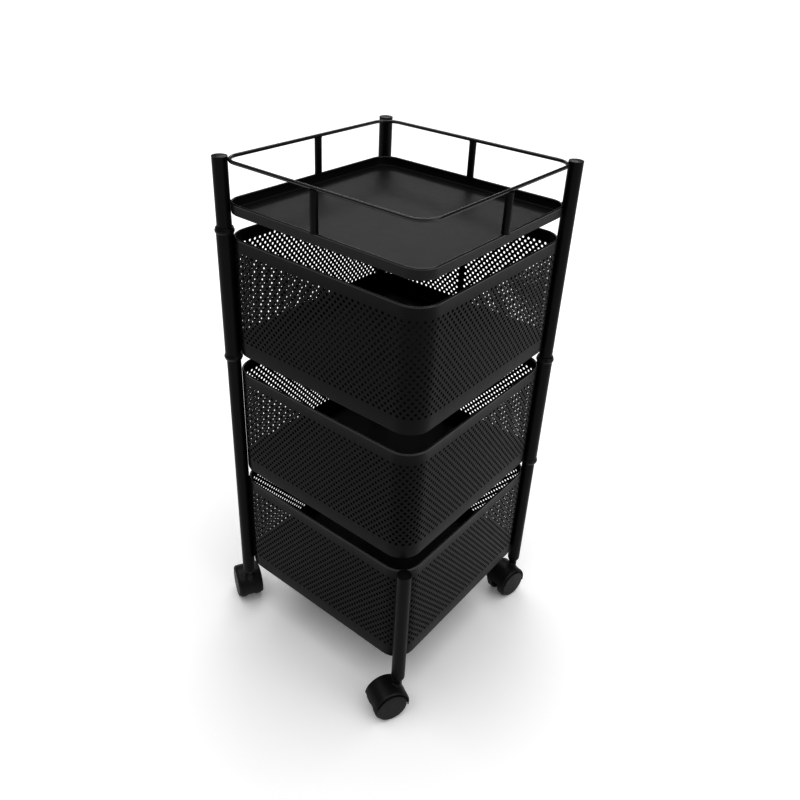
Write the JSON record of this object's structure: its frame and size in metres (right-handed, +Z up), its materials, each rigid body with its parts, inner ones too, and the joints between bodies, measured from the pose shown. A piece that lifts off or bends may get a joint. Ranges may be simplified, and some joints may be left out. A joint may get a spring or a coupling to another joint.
{
  "type": "rolling pantry cart",
  "caption": "Square rolling storage cart with perforated sheet baskets that swing out on opposite posts, a railed top tray and twin-wheel swivel casters.",
  "frame": {"origin": "on the floor that the wheels stand on, midway between the four legs", "axes": "+Z up; +X and +Y along the cart's sides, so that the front leg is at (+X, -Y), the left post at (-X, -Y), the right post at (+X, +Y) and the back post at (-X, +Y)"},
  "size_m": [0.3787, 0.3785, 0.7366],
  "materials": {
    "powder_coated_steel": "satin",
    "plain_steel": "satin",
    "black_plastic": "matte",
    "caster_plastic": "satin",
    "wheel_plastic": "satin"
  },
  "bodies": {
    "frame": {"leg_front": "powder_coated_steel", "leg_left": "powder_coated_steel", "leg_right": "powder_coated_steel", "leg_back": "powder_coated_steel", "post_left": "powder_coated_steel", "post_right": "powder_coated_steel", "post_back": "powder_coated_steel", "joint_plug_left": "plain_steel", "joint_plug_right": "plain_steel", "joint_plug_back": "plain_steel", "cap_front": "black_plastic", "cap_left": "black_plastic", "cap_right": "black_plastic", "cap_back": "black_plastic", "socket_front": "black_plastic", "socket_left": "black_plastic", "socket_right": "black_plastic", "socket_back": "black_plastic", "stem_front": "plain_steel", "stem_left": "plain_steel", "stem_right": "plain_steel", "stem_back": "plain_steel", "tray": "powder_coated_steel", "guard_rail": "powder_coated_steel", "rail_rods": "powder_coated_steel", "bottom_basket_wall": "powder_coated_steel", "bottom_basket_floor": "powder_coated_steel", "middle_collar_lower": "black_plastic", "middle_collar_upper": "black_plastic", "top_collar_lower": "black_plastic", "top_collar_upper": "black_plastic"},
    "middle_basket": {"middle_basket_wall": "powder_coated_steel", "middle_basket_floor": "powder_coated_steel", "middle_sleeve": "powder_coated_steel", "middle_bush_lower": "black_plastic", "middle_bush_upper": "black_plastic"},
    "top_basket": {"top_basket_wall": "powder_coated_steel", "top_basket_floor": "powder_coated_steel", "top_sleeve": "powder_coated_steel", "top_bush_lower": "black_plastic", "top_bush_upper": "black_plastic"},
    "caster_front": {"hood_front": "caster_plastic", "axle_front": "plain_steel"},
    "caster_left": {"hood_left": "caster_plastic", "axle_left": "plain_steel"},
    "caster_right": {"hood_right": "caster_plastic", "axle_right": "plain_steel"},
    "caster_back": {"hood_back": "caster_plastic", "axle_back": "plain_steel"},
    "wheel_front_a": {"wheel_front_a": "wheel_plastic"},
    "wheel_left_a": {"wheel_left_a": "wheel_plastic"},
    "wheel_right_a": {"wheel_right_a": "wheel_plastic"},
    "wheel_back_a": {"wheel_back_a": "wheel_plastic"},
    "wheel_front_b": {"wheel_front_b": "wheel_plastic"},
    "wheel_left_b": {"wheel_left_b": "wheel_plastic"},
    "wheel_right_b": {"wheel_right_b": "wheel_plastic"},
    "wheel_back_b": {"wheel_back_b": "wheel_plastic"}
  },
  "joints": [
    {"name": "middle_basket_swing", "type": "hinge", "parent": "frame", "child": "middle_basket", "pos_m": [0.155, 0.155, 0.3605], "axis": [0, 0, 1], "range_deg": [0, 270]},
    {"name": "top_basket_swing", "type": "hinge", "parent": "frame", "child": "top_basket", "pos_m": [-0.155, -0.155, 0.5535], "axis": [0, 0, 1], "range_deg": [-270, 0]},
    {"name": "caster_front_swivel", "type": "hinge", "parent": "frame", "child": "caster_front", "pos_m": [0.155, -0.155, 0.05], "axis": [0, 0, 1], "continuous": true},
    {"name": "caster_left_swivel", "type": "hinge", "parent": "frame", "child": "caster_left", "pos_m": [-0.155, -0.155, 0.05], "axis": [0, 0, 1], "continuous": true},
    {"name": "caster_right_swivel", "type": "hinge", "parent": "frame", "child": "caster_right", "pos_m": [0.155, 0.155, 0.05], "axis": [0, 0, 1], "continuous": true},
    {"name": "caster_back_swivel", "type": "hinge", "parent": "frame", "child": "caster_back", "pos_m": [-0.155, 0.155, 0.05], "axis": [0, 0, 1], "continuous": true},
    {"name": "wheel_front_a_spin", "type": "hinge", "parent": "caster_front", "child": "wheel_front_a", "pos_m": [0.14808, -0.16887, 0.025], "axis": [0.8949, -0.4462, 0], "continuous": true},
    {"name": "wheel_front_b_spin", "type": "hinge", "parent": "caster_front", "child": "wheel_front_b", "pos_m": [0.14808, -0.16887, 0.025], "axis": [0.8949, -0.4462, 0], "continuous": true},
    {"name": "wheel_left_a_spin", "type": "hinge", "parent": "caster_left", "child": "wheel_left_a", "pos_m": [-0.16862, -0.1476, 0.025], "axis": [-0.4772, -0.8788, 0], "continuous": true},
    {"name": "wheel_left_b_spin", "type": "hinge", "parent": "caster_left", "child": "wheel_left_b", "pos_m": [-0.16862, -0.1476, 0.025], "axis": [-0.4772, -0.8788, 0], "continuous": true},
    {"name": "wheel_right_a_spin", "type": "hinge", "parent": "caster_right", "child": "wheel_right_a", "pos_m": [0.15178, 0.13984, 0.025], "axis": [0.9781, -0.2079, 0], "continuous": true},
    {"name": "wheel_right_b_spin", "type": "hinge", "parent": "caster_right", "child": "wheel_right_b", "pos_m": [0.15178, 0.13984, 0.025], "axis": [0.9781, -0.2079, 0], "continuous": true},
    {"name": "wheel_back_a_spin", "type": "hinge", "parent": "caster_back", "child": "wheel_back_a", "pos_m": [-0.16905, 0.14845, 0.025], "axis": [0.4226, -0.9063, 0], "continuous": true},
    {"name": "wheel_back_b_spin", "type": "hinge", "parent": "caster_back", "child": "wheel_back_b", "pos_m": [-0.16905, 0.14845, 0.025], "axis": [0.4226, -0.9063, 0], "continuous": true}
  ]
}
